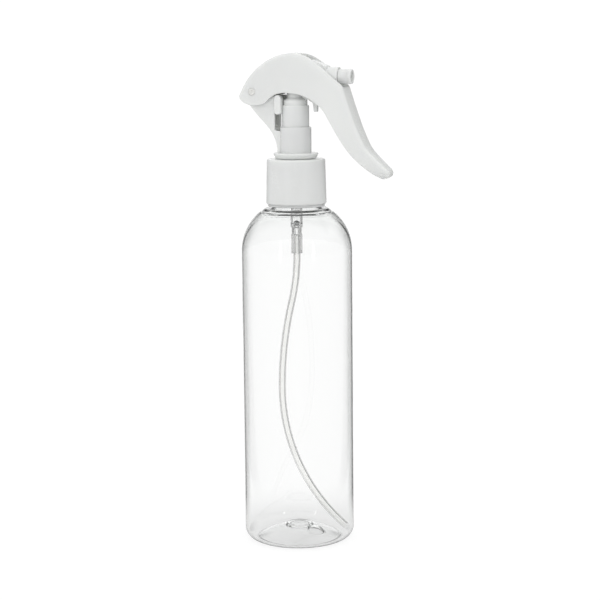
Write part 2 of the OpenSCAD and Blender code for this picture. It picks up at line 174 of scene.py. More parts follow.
def turned(profile, around=64, closed=True, change=None):
    """A profile of radius and height carried round the Z axis. It climbs the inner walls and comes down the
    outer ones. An open profile starts and ends on the axis. change(r, angle, z) may return new r and z."""
    a = np.arange(around) * 2 * math.pi / around
    r = profile[:, :1] + 0 * a
    z = profile[:, 1:] + 0 * a
    if change:
        r, z = change(r, a, z)
    points = np.stack([r * np.cos(a), r * np.sin(a), z], axis=-1).reshape(-1, 3)
    return points, [grid_faces(len(profile), around, wrap_rows=closed)]


def spun(corners, around):
    """A solid whose profile leaves the Z axis, runs through rounded corners and comes back to the axis."""
    return turned(rounded(corners, closed=False), around, closed=False)


def bar(r, top, bottom, around=48):
    """A plain round bar about the Z axis."""
    return turned(np.array([[0, top], [r, top], [r, bottom], [0, bottom]]), around, closed=False)


def slab(outline, half, edge=0.3, middle=0.0, steps=4):
    """A counterclockwise outline in x and z, carried across the head from middle - half to middle + half and
    drawn in near both faces by a quarter circle of radius edge."""
    a = np.radians(np.linspace(0, 90, steps + 1))
    y = half - edge + edge * np.sin(a)
    inset = edge * (1 - np.cos(a))
    ys, insets = np.concatenate([-y[::-1], y]), np.concatenate([inset[::-1], inset])
    rings = np.stack([drawn_in(outline, d) for d in insets])
    across = np.broadcast_to(ys[:, None, None] + middle, rings.shape[:2] + (1,))
    points = np.concatenate([rings[..., :1], across, rings[..., 1:]], axis=-1).reshape(-1, 3)
    n = len(outline)
    caps = np.stack([np.arange(n), len(points) - 1 - np.arange(n)])
    return points, [grid_faces(len(ys), n), caps]


def along_x(solid, x=0.0, z=0.0):
    """A solid made round the Z axis, laid along X."""
    return solid[0][:, [2, 0, 1]] + np.array([x, 0, z]), solid[1]


def along_y(solid, x=0.0, z=0.0):
    """A solid made round the Z axis, laid along Y."""
    return solid[0][:, [1, 2, 0]] + np.array([x, 0, z]), solid[1]


def mesh_of(name, solid, scale=MM):
    """A mesh whose doubled points are merged, which closes seams and poles, and whose faces look outwards."""
    points, faces = solid
    mesh = bpy.data.meshes.new(name)
    mesh.from_pydata((points * scale).tolist(), [], [f for group in faces for f in group.tolist()])
    work = bmesh.new()
    work.from_mesh(mesh)
    bmesh.ops.remove_doubles(work, verts=work.verts, dist=2e-4 * scale)
    bmesh.ops.dissolve_degenerate(work, edges=work.edges, dist=1e-5 * scale)
    bmesh.ops.triangulate(work, faces=[f for f in work.faces if len(f.verts) > 4])
    bmesh.ops.recalc_face_normals(work, faces=work.faces)
    work.to_mesh(mesh)
    work.free()
    return mesh


def link(made):
    """Puts an object into the scene."""
    bpy.context.scene.collection.objects.link(made)


def fused(name, first, *steps):
    """One closed mesh: the first solid, to which each step (operation, solid) is applied in turn. It is
    worked out in millimetres."""
    meshes = [mesh_of(name, solid, 1) for solid in [first, *(solid for _, solid in steps)]]
    base, *tools = [bpy.data.objects.new(name, mesh) for mesh in meshes]
    for made in [base, *tools]:
        link(made)
    for (operation, _), tool in zip(steps, tools):
        step = base.modifiers.new("step", "BOOLEAN")
        step.operation, step.object, step.solver = operation, tool, "EXACT"
    bpy.context.view_layer.update()
    result = bpy.data.meshes.new_from_object(base.evaluated_get(bpy.context.evaluated_depsgraph_get()))
    result.transform(Matrix.Scale(MM, 4))
    for used in [base, *tools]:
        bpy.data.objects.remove(used)
    return result


def piece(name, mesh, body, nodes, material, sharp=38.0):
    """Puts a finished mesh into the scene as a piece that rides on a body and stands for its CAD nodes."""
    mesh.materials.clear()
    mesh.materials.append(material)
    mesh.shade_smooth()
    mesh.set_sharp_from_angle(angle=math.radians(sharp))
    made = bpy.data.objects.new(name, mesh)
    link(made)
    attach(made, body)
    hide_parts(*nodes)
    return made


# ---- materials --------------------------------------------------------------------------------------


def new_group(name, inputs, outputs):
    """An empty shader node group with float or colour sockets, and its two end nodes."""
    tree = bpy.data.node_groups.new(name, "ShaderNodeTree")
    for label, kind, value in inputs:
        socket = tree.interface.new_socket(label, in_out="INPUT", socket_type="NodeSocket" + kind)
        socket.default_value = value
    for label, kind in outputs:
        tree.interface.new_socket(label, in_out="OUTPUT", socket_type="NodeSocket" + kind)
    return tree, tree.nodes.new("NodeGroupInput"), tree.nodes.new("NodeGroupOutput")


def group_node(tree, group):
    """A node that stands for a node group."""
    node = tree.nodes.new("ShaderNodeGroup")
    node.node_tree = group
    return node


def wire(tree, source, target):
    """Joins an output socket to an input socket."""
    tree.links.new(source, target)


def feed(tree, value, target):
    """Gives an input socket its value, which is an output socket or a constant."""
    if isinstance(value, bpy.types.NodeSocket):
        wire(tree, value, target)
    else:
        target.default_value = value


def grey(level):
    """An opaque grey."""
    return (level, level, level, 1)


def maths(tree, operation, *values):
    """A Math node whose inputs are sockets or plain numbers. Returns its output."""
    node = tree.nodes.new("ShaderNodeMath")
    node.operation = operation
    for socket, value in zip(node.inputs, values):
        feed(tree, value, socket)
    return node.outputs[0]


def clamped(tree, value):
    """A value held between 0 and 1."""
    return maths(tree, "MINIMUM", maths(tree, "MAXIMUM", value, 0), 1)


def noise(tree, scale, detail, stretch=(1, 1, 1)):
    """Noise on object coordinates, in features of 1 / scale metres, stretched along each axis."""
    place = tree.nodes.new("ShaderNodeTexCoord")
    mapping = tree.nodes.new("ShaderNodeMapping")
    mapping.inputs["Scale"].default_value = stretch
    node = tree.nodes.new("ShaderNodeTexNoise")
    node.inputs["Detail"].default_value = detail
    wire(tree, place.outputs["Object"], mapping.inputs["Vector"])
    wire(tree, mapping.outputs["Vector"], node.inputs["Vector"])
    feed(tree, scale, node.inputs["Scale"])
    return node.outputs["Fac"]


def moulded_skin():
    """Moulded plastic: broad flow marks that shift the tone a little, a fine satin grain, and a roughness
    that follows both."""
    tree, given, result = new_group(
        "moulded_skin",
        [("Colour", "Color", (0.8, 0.8, 0.8, 1)), ("Shade", "Float", 0.04), ("Satin", "Float", 0.3),
         ("Flow scale", "Float", 90.0), ("Grain scale", "Float", 2600.0)],
        [("Colour", "Color"), ("Roughness", "Float"), ("Height", "Float")])
    flow = noise(tree, given.outputs["Flow scale"], 3, (1, 1, 0.45))
    grain = noise(tree, given.outputs["Grain scale"], 2)
    shade = maths(tree, "MULTIPLY", flow, given.outputs["Shade"])
    tone = tree.nodes.new("ShaderNodeMix")
    tone.data_type = "RGBA"
    tone.blend_type = "MULTIPLY"
    tone.inputs[0].default_value = 1
    darker = tree.nodes.new("ShaderNodeCombineColor")
    keep = maths(tree, "SUBTRACT", 1, shade)
    for socket in darker.inputs:
        wire(tree, keep, socket)
    wire(tree, given.outputs["Colour"], tone.inputs[6])
    wire(tree, darker.outputs[0], tone.inputs[7])
    wire(tree, tone.outputs[2], result.inputs["Colour"])
    spread = maths(tree, "MULTIPLY_ADD", grain, 0.10, maths(tree, "MULTIPLY_ADD", flow, 0.12, -0.11))
    wire(tree, maths(tree, "ADD", given.outputs["Satin"], spread), result.inputs["Roughness"])
    relief = maths(tree, "MULTIPLY_ADD", flow, 0.5, maths(tree, "MULTIPLY", grain, 0.12))
    wire(tree, relief, result.inputs["Height"])
    return tree


def blown_wall():
    """Blown plastic: long slow waves down the wall with faint draw lines, and a gloss that is a touch duller
    where the waves crest."""
    tree, given, result = new_group(
        "blown_wall",
        [("Gloss", "Float", 0.02), ("Wave scale", "Float", 60.0), ("Line scale", "Float", 700.0)],
        [("Roughness", "Float"), ("Height", "Float")])
    wave = noise(tree, given.outputs["Wave scale"], 2, (1, 1, 0.3))
    lines = noise(tree, given.outputs["Line scale"], 1, (1, 1, 0.04))
    wire(tree, maths(tree, "MULTIPLY_ADD", wave, 0.02, given.outputs["Gloss"]), result.inputs["Roughness"])
    wire(tree, maths(tree, "MULTIPLY_ADD", lines, 0.05, wave), result.inputs["Height"])
    return tree


SKIN = moulded_skin()
WALL = blown_wall()


def bare_material(name, values):
    """A material whose shader gets plain values on its own sockets. Returns the material, tree and shader."""
    material = bpy.data.materials.new(name)
    material.use_nodes = True
    tree = material.node_tree
    shader = tree.nodes["Principled BSDF"]
    for socket, value in values.items():
        shader.inputs[socket].default_value = value
    return material, tree, shader


def add_bump(tree, shader, height, distance, strength=1.0):
    """Feeds a height, in units of distance millimetres, to the shader's normal."""
    bump = tree.nodes.new("ShaderNodeBump")
    bump.inputs["Distance"].default_value = distance * MM
    bump.inputs["Strength"].default_value = strength
    wire(tree, height, bump.inputs["Height"])
    wire(tree, bump.outputs["Normal"], shader.inputs["Normal"])


def moulded(name, colour, satin, shade=0.04, relief=0.02, flow=90.0, **values):
    """A moulded plastic or metal finish."""
    material, tree, shader = bare_material(name, values)
    skin = group_node(tree, SKIN)
    skin.inputs["Colour"].default_value = (*colour, 1)
    skin.inputs["Shade"].default_value = shade
    skin.inputs["Satin"].default_value = satin
    skin.inputs["Flow scale"].default_value = flow
    wire(tree, skin.outputs["Colour"], shader.inputs["Base Color"])
    wire(tree, skin.outputs["Roughness"], shader.inputs["Roughness"])
    add_bump(tree, shader, skin.outputs["Height"], relief)
    return material


def clear(name, colour, gloss, relief, tint, density, **values):
    """A clear plastic that light passes through: its tint comes from absorption in the wall."""
    material, tree, shader = bare_material(
        name, {"Base Color": (*colour, 1), "Transmission Weight": 1.0, "Metallic": 0.0, **values})
    wall = group_node(tree, WALL)
    wall.inputs["Gloss"].default_value = gloss
    wire(tree, wall.outputs["Roughness"], shader.inputs["Roughness"])
    add_bump(tree, shader, wall.outputs["Height"], relief)
    depth = tree.nodes.new("ShaderNodeVolumeAbsorption")
    depth.inputs["Color"].default_value = (*tint, 1)
    depth.inputs["Density"].default_value = density
    wire(tree, depth.outputs["Volume"], tree.nodes["Material Output"].inputs["Volume"])
    return material


SOFT_LIGHT = {
    "Subsurface Weight": 0.5,
    "Subsurface Radius": (1.0, 1.0, 0.95),
    "Subsurface Scale": 0.0022,
}

clear_pet = clear("clear_pet", (1, 1, 1), 0.012, 0.05, (0.42, 0.52, 0.46), 38.0, IOR=1.575)
white_pp = moulded("white_pp", (0.825, 0.837, 0.825), 0.26, IOR=1.49, **SOFT_LIGHT)
natural_pp = clear("natural_pp", (0.99, 0.99, 0.99), 0.07, 0.006, (0.6, 0.66, 0.6), 8.0, IOR=1.49)
natural_pe = clear("natural_pe", (0.99, 0.99, 0.98), 0.12, 0.006, (0.6, 0.64, 0.58), 8.0, IOR=1.51)
pin_plastic = moulded("pin_plastic", (0.87, 0.87, 0.83), 0.30, IOR=1.48, **SOFT_LIGHT)
grey_plastic = moulded("grey_plastic", (0.62, 0.64, 0.62), 0.32, IOR=1.50, **SOFT_LIGHT)
foam = moulded("foam", (0.86, 0.86, 0.83), 0.75, relief=0.06, IOR=1.45)
spring_steel = moulded("spring_steel", (0.56, 0.57, 0.58), 0.24, shade=0.1, flow=400.0, Metallic=1.0)
ball_steel = moulded("ball_steel", (0.30, 0.31, 0.31), 0.12, shade=0.1, flow=600.0, Metallic=1.0)


# ---- bottle -----------------------------------------------------------------------------------------

WALL_T = 0.6
WALL_LOW, WALL_HIGH = 20, 129.0         # ends of the straight wall
HEEL_R, HEEL_T = 5.5, 0.7
SHOULDER_Z, SHOULDER_R = 133.0, 22.5
SHOULDER_IN_Z, SHOULDER_IN_R = SHOULDER_Z - 0.8, 20.4
LEDGE_Z, LEDGE_T = 152.2, 1.2
NECK_R, NECK_BORE = 10.9, 9.7
BEAD_R, BEAD_LOW, BEAD_TOP = NECK_R + 0.7, 155.2, 156.4
THREAD_Z, THREAD_PITCH, THREAD_TURNS, THREAD_CREST = 160.7, 3.175, 1.5, 11.95
DOME_Z, DOME_R, BASE_T = -31.4, 36.5, 0.9
DOME_EDGE_IN, DOME_EDGE_OUT = 19.2, 18.2
DISC_R_IN, DISC_R_OUT = 6.0, 4.3        # flat disc in the middle of the base
LUG_X, LUG_Y, LUG_Z, LUG_R, LUG_T = 8.6, -3.2, 2.6, 3.4, 0.8
SAME = 0.05                             # how near a radius has to be to count as the same wall


def soft_max(a, b, blend):
    """The larger of a and b, with the crease between them rounded over about blend."""
    return 0.5 * (a + b + np.sqrt((a - b) ** 2 + blend * blend))


def thread_height(angle, z, start, turns, root_half, crest_half):
    """Height of a thread, from 0 to 1, at an angle and a height: a trapezium about a helix that climbs one
    pitch in a turn and fades out over an eighth of a turn at both ends."""
    height = 0 * z * angle
    for lap in range(math.ceil(turns) + 1):
        t = angle / (2 * math.pi) + lap
        off = np.abs(z - start - THREAD_PITCH * t)
        flank = np.clip((root_half - off) / (root_half - crest_half), 0, 1)
        height = np.maximum(height, flank * np.clip(np.minimum(t, turns - t) * 8, 0, 1))
    return height * height * (3 - 2 * height)


def bottle_change(r, angle, z):
    """The thread stands out from the neck, and the positioning dimple lifts both faces of the base."""
    neck = (np.abs(r - NECK_R) < SAME) & (z > THREAD_Z - 2) & (z < NECK_TOP - 1)
    r = r + neck * (THREAD_CREST - NECK_R) * thread_height(angle, z, THREAD_Z, THREAD_TURNS, 1.0, 0.45)
    away = (r * np.cos(angle) - LUG_X) ** 2 + (r * np.sin(angle) - LUG_Y) ** 2
    inside = z > DOME_Z + np.sqrt(np.maximum((DOME_R + BASE_T / 2) ** 2 - r * r, 0))
    ball = LUG_R + LUG_T * inside
    lifted = soft_max(z, LUG_Z + np.sqrt(np.maximum(ball * ball - away, 0)), 0.4)
    base = (r < 15) & (z < 10)
    return r, np.where(base & (away < (ball + 1) ** 2), lifted, z)


def bottle_profile():
    """The bottle's wall as one line: from the floor's centre up the inside, over the lip and down the
    outside, with arcs for the heel and the shoulder, to the middle of the pushed-up base."""
    inner = BOTTLE_R - WALL_T
    heel_in = HEEL_R - HEEL_T
    dome_in = DOME_R + BASE_T
    ceiling_z = LEDGE_Z - LEDGE_T
    edge_in = math.degrees(math.acos(DOME_EDGE_IN / dome_in))
    edge_out = math.degrees(math.acos(DOME_EDGE_OUT / DOME_R))
    disc_in = math.degrees(math.acos(DISC_R_IN / dome_in))
    disc_out = math.degrees(math.acos(DISC_R_OUT / DOME_R))
    top_in = math.degrees(math.asin((ceiling_z - SHOULDER_IN_Z) / SHOULDER_IN_R))
    top_out = math.degrees(math.asin((LEDGE_Z - SHOULDER_Z) / SHOULDER_R))
    ledge_r = BOTTLE_R - SHOULDER_R + SHOULDER_R * math.cos(math.radians(top_out))
    ceiling_r = inner - SHOULDER_IN_R + SHOULDER_IN_R * math.cos(math.radians(top_in))
    floor = rounded([(0, 6.35), (5.6, 6.35, 0.5), (6.4, 5.45, 0.5), (7.4, 5.26)], closed=False)
    dome = arc_line((0, DOME_Z), dome_in, disc_in - 2.2, edge_in + 0.4, 48)
    heel = arc_line((inner - heel_in, HEEL_R), heel_in, -86, 0, 24)
    wall = np.array([[inner, z] for z in np.linspace(WALL_LOW, WALL_HIGH, 12)])
    shoulder = arc_line((inner - SHOULDER_IN_R, SHOULDER_IN_Z), SHOULDER_IN_R, 0, top_in - 2.6, 40)
    mouth = rounded([
        (ceiling_r + 0.5, ceiling_z - 0.22), (ceiling_r, ceiling_z, 0.5), (NECK_BORE, ceiling_z, 1.4),
        (NECK_BORE, NECK_TOP, 0.35), (NECK_R, NECK_TOP, 0.45), (NECK_R, BEAD_TOP, 0.25),
        (BEAD_R, BEAD_TOP, 0.3), (BEAD_R, BEAD_LOW, 0.3), (NECK_R, BEAD_LOW, 0.3), (NECK_R, LEDGE_Z, 0.8),
        (ledge_r, LEDGE_Z, 0.9), (ledge_r + 1.1, LEDGE_Z - 1.05)], closed=False)
    shoulder_out = arc_line((BOTTLE_R - SHOULDER_R, SHOULDER_Z), SHOULDER_R, top_out - 5.0, 0, 44)
    wall_out = np.array([[BOTTLE_R, z] for z in np.linspace(WALL_HIGH, WALL_LOW, 12)])
    heel_out = arc_line((BOTTLE_R - HEEL_R, HEEL_R), HEEL_R, 0, -90, 26)
    under = rounded([(BOTTLE_R - HEEL_R - 0.1, 0), (18.5, 0.02, 0.8), (17.6, 0.575)], closed=False)
    dome_out = arc_line((0, DOME_Z), DOME_R, edge_out + 1.6, disc_out - 1.0, 46)
    middle = rounded([(4.9, 4.77), (4.3, 4.95, 0.2), (4.1, 5.45, 0.2), (0, 5.45)], closed=False)
    return np.vstack([divided(floor, 0.5), dome, heel, wall, shoulder, divided(mouth, 0.22), shoulder_out,
                      wall_out, heel_out, under, dome_out, divided(middle, 0.5)])


def make_bottle():
    """The bottle: its wall's line turned about the Z axis."""
    solid = turned(bottle_profile(), 176, closed=False, change=bottle_change)
    mesh = mesh_of("bottle_clear", solid)
    piece("bottle_clear", mesh, "bottle", ["bottle"], clear_pet, 60)


# ---- closure ----------------------------------------------------------------------------------------

SKIRT_IN_R, ROOF_T = 12.25, 1.5


def closure_change(r, angle, z):
    """The closure's own thread stands in from the skirt's inner wall."""
    wall = (np.abs(r - SKIRT_IN_R) < SAME) & (z < 168)
    return r - wall * 1.05 * thread_height(angle, z, THREAD_Z - 1.35, 1.25, 0.8, 0.35), z


def make_closure():
    """The closure: a skirt that widens downwards, with a rounded top edge and a rim below a short cone."""
    hole, ceiling_z = 8.3, CLOSURE_TOP - ROOF_T
    line = rounded([
        (SKIRT_IN_R, CLOSURE_LOW, 0.2), (SKIRT_IN_R, ceiling_z, 0.5), (hole, ceiling_z, 0.2),
        (hole, CLOSURE_TOP, 0.35), (13.1, CLOSURE_TOP, 0.7), (CLOSURE_R, CLOSURE_LOW + 1.6, 0.5),
        (12.85, CLOSURE_LOW + 0.75, 0.3), (12.8, CLOSURE_LOW, 0.25)])
    solid = turned(divided(line, 0.4, closed=True), 128, change=closure_change)
    mesh = mesh_of("closure_skirt", solid)
    piece("closure_skirt", mesh, "closure", ["closure"], white_pp)


# ---- pump -------------------------------------------------------------------------------------------


def make_pump_housing():
    """The pump's chamber: flange, barrel, neck and the sleeve that grips the dip tube, turned as one."""
    line = rounded([
        (0.9, 141.0, 0.1), (0.9, 143.6, 0.2), (0.7, 144.6, 0.1), (1.75, 146.2, 0.1), (2.0, 146.6, 0.2),
        (2.0, 154.5, 0.1), (4.0, 154.5, 0.15), (4.0, 172.0, 0.1), (6.0, 172.0, 0.15), (6.0, 176.3, 0.1),
        (7.2, 176.3, 0.25), (7.2, 172.7, 0.2), (10.7, 172.7, 0.2), (10.7, 171.5, 0.2), (5.0, 171.5, 0.5),
        (5.0, 152.9, 0.5), (2.75, 151.1, 0.5), (2.75, 144.8, 0.25), (2.3, 144.5, 0.25),
        (2.3, 141.2, 0.2), (2.55, 141.0, 0.15), (2.55, 132.3, 0.15), (1.62, 132.3, 0.15),
        (1.62, 140.8, 0.1), (1.0, 140.85, 0.1)])
    mesh = mesh_of("pump_chamber", turned(divided(line, 2.0, closed=True), 72))
    piece("pump_chamber", mesh, "pump", ["pump_housing"], natural_pp)


TUBE_TOP, TUBE_BEND_Z = 140.7, 131.5
TUBE_ARCS = ((95.0, 13.5), (170.0, 13.5), (88.0, 47.5))     # radius and angle of each bend, from the top
TUBE_R, TUBE_BORE_R, TUBE_PLANE = 1.6, 1.0, 20.0


def tube_line():
    """The dip tube's centre line in its own plane: straight down, an arc out to one side, an arc back to
    vertical, and a third arc on past it. Returns x, z and the angle of the run from straight down."""
    (r1, a1), (r2, a2), (r3, a3) = TUBE_ARCS
    out = np.radians(-np.linspace(0, a1, 20))
    back = np.radians(np.linspace(-a2, 0, 28))
    last = np.radians(np.linspace(0, a3, 56))
    c1 = np.array([-r1, TUBE_BEND_Z])
    c2 = c1 + (r1 + r2) * np.array([math.cos(out[-1]), math.sin(out[-1])])
    c3 = c2 + np.array([r3 - r2, 0])
    top = np.array([[0, TUBE_TOP, 0], [0, TUBE_TOP - 4, 0], [0, TUBE_BEND_Z + 1, 0]])
    arcs = [np.stack([c[0] + s * r * np.cos(h), c[1] + s * r * np.sin(h), h], axis=1)
            for c, r, s, h in ((c1, r1, 1, out), (c2, r2, -1, back[1:]), (c3, r3, -1, last[1:]))]
    return np.vstack([top, *arcs])


def make_dip_tube():
    """The dip tube: a circle carried down the centre line, and back up it with the radius of the bore."""
    around = 28
    line = tube_line()
    both = np.vstack([line, line[::-1]])
    r = np.repeat([TUBE_R, TUBE_BORE_R], len(line))[:, None]
    a = np.arange(around)[None, :] * 2 * math.pi / around
    x = both[:, :1] + r * np.cos(a) * np.cos(both[:, 2:])
    z = both[:, 1:2] + r * np.cos(a) * np.sin(both[:, 2:])
    y = r * np.sin(a) + 0 * x
    c, s = math.cos(math.radians(TUBE_PLANE)), math.sin(math.radians(TUBE_PLANE))
    points = np.stack([x * c - y * s, x * s + y * c, z], axis=-1).reshape(-1, 3)
    mesh = mesh_of("dip_tube_bent", (points, [grid_faces(len(both), around, wrap_rows=True)]))
    piece("dip_tube_bent", mesh, "pump", ["dip_tube"], natural_pe)


def pin_bore(gap):
    """What is cut away for a hole round the hinge pin."""
    return along_y(bar(PIN_R + gap, 9, -9), PIN_X, PIN_Z)


BRACKET_BACK = [
    [[-7.2, 176.95], [-7.2, 187.5], [-14.6, 190.2], [-20, 198]],
    [[-20, 198], [-21.6, 200.2], [-22, 202.5], [-21.6, 204.6]],
    [[-21.6, 204.6], [-20.9, 208.4], [-15.4, 208.6], [-14.4, 204.4]],
    [[-14.4, 204.4], [-13.6, 202.8], [-10.5, 203.3], [-8.4, 202.2]]]


def make_pump_body():
    """The pump's body: a turned collar and guide column, and behind it a bracket of channel section that
    carries the pin."""
    column = turned(rounded([
        (3.0, 176.65, 0.1), (3.0, COLUMN_Z + 1.2, 0.2), (6.35, COLUMN_Z + 1.2, 0.3), (6.35, COLUMN_TOP, 0.3),
        (7.0, COLUMN_TOP, 0.25), (7.0, COLUMN_Z, 0.35), (10.3, COLUMN_Z, 0.35), (9.1, COLLAR_LOW, 0.35),
        (7.9, COLLAR_LOW, 0.15), (7.9, 172.75, 0.15), (7.25, 172.75, 0.1), (7.25, 176.65, 0.1)]), 96)
    back = cubic(BRACKET_BACK, np.linspace(0, 4, 60))
    front = rounded([(-8.4, 202.2), (-8.4, 187.0, 0.6), (-5.5, 186.6, 0.4), (-5.5, 176.9)], closed=False)
    bracket = slab(np.vstack([back, front[1:]])[::-1], 4.6)
    wall = beside(back, 1.4)
    channel = slab(np.vstack([wall[wall[:, 1] > 183], [[-6, 203], [-6, 182.2]]])[::-1], 3.2, 0.1)
    ear = along_y(spun([(0, 4.5), (2.9, 4.5, 0.3), (2.9, -4.5, 0.3), (0, -4.5)], 48), PIN_X, PIN_Z)
    inside = bar(6.34, 200.0, COLUMN_Z + 1.3, 96)
    mesh = fused("guide_column", bracket, ("DIFFERENCE", channel), ("UNION", ear), ("UNION", column),
                 ("DIFFERENCE", inside), ("DIFFERENCE", pin_bore(0.03)))
    piece("guide_column", mesh, "pump", ["pump_body"], white_pp)


def make_hinge_pin():
    """The pin across the head: a round bar with rounded ends, each with a shallow round dimple."""
    end = LEVER_HALF + 0.08
    dimple = end - 0.25
    solid = spun([(0, dimple), (0.6, dimple, 0.15), (0.8, end, 0.12), (PIN_R, end, 0.22),
                  (PIN_R, -end, 0.22), (0.8, -end, 0.12), (0.6, -dimple, 0.15), (0, -dimple)], 48)
    mesh = mesh_of("hinge_pin_round", along_y(solid, PIN_X, PIN_Z))
    piece("hinge_pin_round", mesh, "pump", ["hinge_pin"], pin_plastic)


# ---- lever ------------------------------------------------------------------------------------------

# back of the lever at its middle, from the rear end over the top to the tip
LEVER_BACK = [
    [[-24.6, 202.6], [-21.2, 212.6], [-10.8, 221.25], [0.5, 221.25]],
    [[0.5, 221.25], [9, 221.25], [14.6, 213.9], [22.8, 207.6]],
    [[22.8, 207.6], [24.2, 206.5], [24.3, 205.2], [24.8, 203.6]],
    [[24.8, 203.6], [27.4, 196], [30.3, 186.8], [34, 180.3]],
    [[34, 180.3], [35.4, 177.8], [39.5, 174.2], [44, 169.9]],
    [[44, 169.9], [45.4, 168.5], [44.2, 166], [41.2, 165.8]]]
# its lower edge, the same way round
LEVER_EDGE = [
    [[-24.6, 202.6], [-24.7, 200.6], [-22.6, 198.8], [-19.8, 198.3]],
    [[-19.8, 198.3], [-17, 198], [-13.2, 198], [-11.6, 199.8]],
    [[-11.6, 199.8], [-7.5, 204.5], [-2.5, 203.8], [2, 203.2]],
    [[2, 203.2], [8, 202.2], [13.6, 198.3], [16, 194.2]],
    [[16, 194.2], [19.3, 188.3], [23.2, 181.2], [27, 176.8]],
    [[27, 176.8], [31.5, 171.8], [37.5, 167.3], [41.2, 165.8]],
    [[41.2, 165.8], [44.2, 166], [45.4, 168.5], [44, 169.9]]]
# which place on the back stands over which place on the edge
LEVER_PAIRS = np.array([
    [0, 0], [0.13, 1], [0.61, 2], [1.02, 2.93], [1.56, 3.48], [2, 3.93], [3, 4.06], [3.5, 4.37],
    [4, 4.91], [4.6, 5.41], [4.96, 5.78], [5.15, 6.0], [5.49, 6.49]])
# half of its outline from the front, from the straight side down to the round tip
LEVER_FRONT = [
    [[6.5, 193], [6.3, 183], [5.6, 177], [5.2, 172.5]],
    [[5.2, 172.5], [4.7, 168], [2.6, 165.5], [0, 165.5]]]
LEVER_T = 1.5
SLOT_HALF, SLOT_REAR_X, SLOT_LOW_Z = 4.75, 4.0, 206.2
FLAT_COLS = 8                           # columns of the grid in half of the flat back
CROWN = 0.3
LEVER_CORNER = 1.75
SOLID_DEPTH = 3.2                       # a section no deeper than this has no hollow
LIP = 0.35                              # height of the rounded lower edge


def lever_narrowing(z):
    """Share of the full width that is left at a height: the finger grip tapers and its tip is round."""
    side = cubic(LEVER_FRONT, np.linspace(0, 1.9999, 200))
    return np.interp(z, side[::-1, 1], side[::-1, 0]) / LEVER_HALF


def lever_section(depth, half, corner, crown):
    """Half of a section for every station: from the middle of the back, round the corner and down the side to
    the lower edge. depth is a column, one number for a station. Returns y and the height over the edge."""
    flat = np.linspace(0, 1, FLAT_COLS + 1)[None, :] * SLOT_HALF
    turn = np.radians(np.linspace(0, 90, 8))[None, 1:]
    side = np.linspace(0, 1, 12)[None, 1:]
    reach = half - SLOT_HALF
    corner = np.minimum(corner, 0.6 * depth)
    drop = crown * (SLOT_HALF / half) ** 2
    shoulder = np.maximum(depth - drop - corner, 0)
    lip = np.minimum(LIP, 0.3 * shoulder)
    y = [flat + 0 * depth, SLOT_HALF + reach * np.sin(turn) + 0 * depth, half + 0 * side + 0 * depth]
    h = [depth - crown * (flat / half) ** 2, depth - drop - corner * (1 - np.cos(turn)),
         shoulder - (shoulder - lip) * side]
    return np.concatenate(y, axis=1), np.maximum(np.concatenate(h, axis=1), 0)


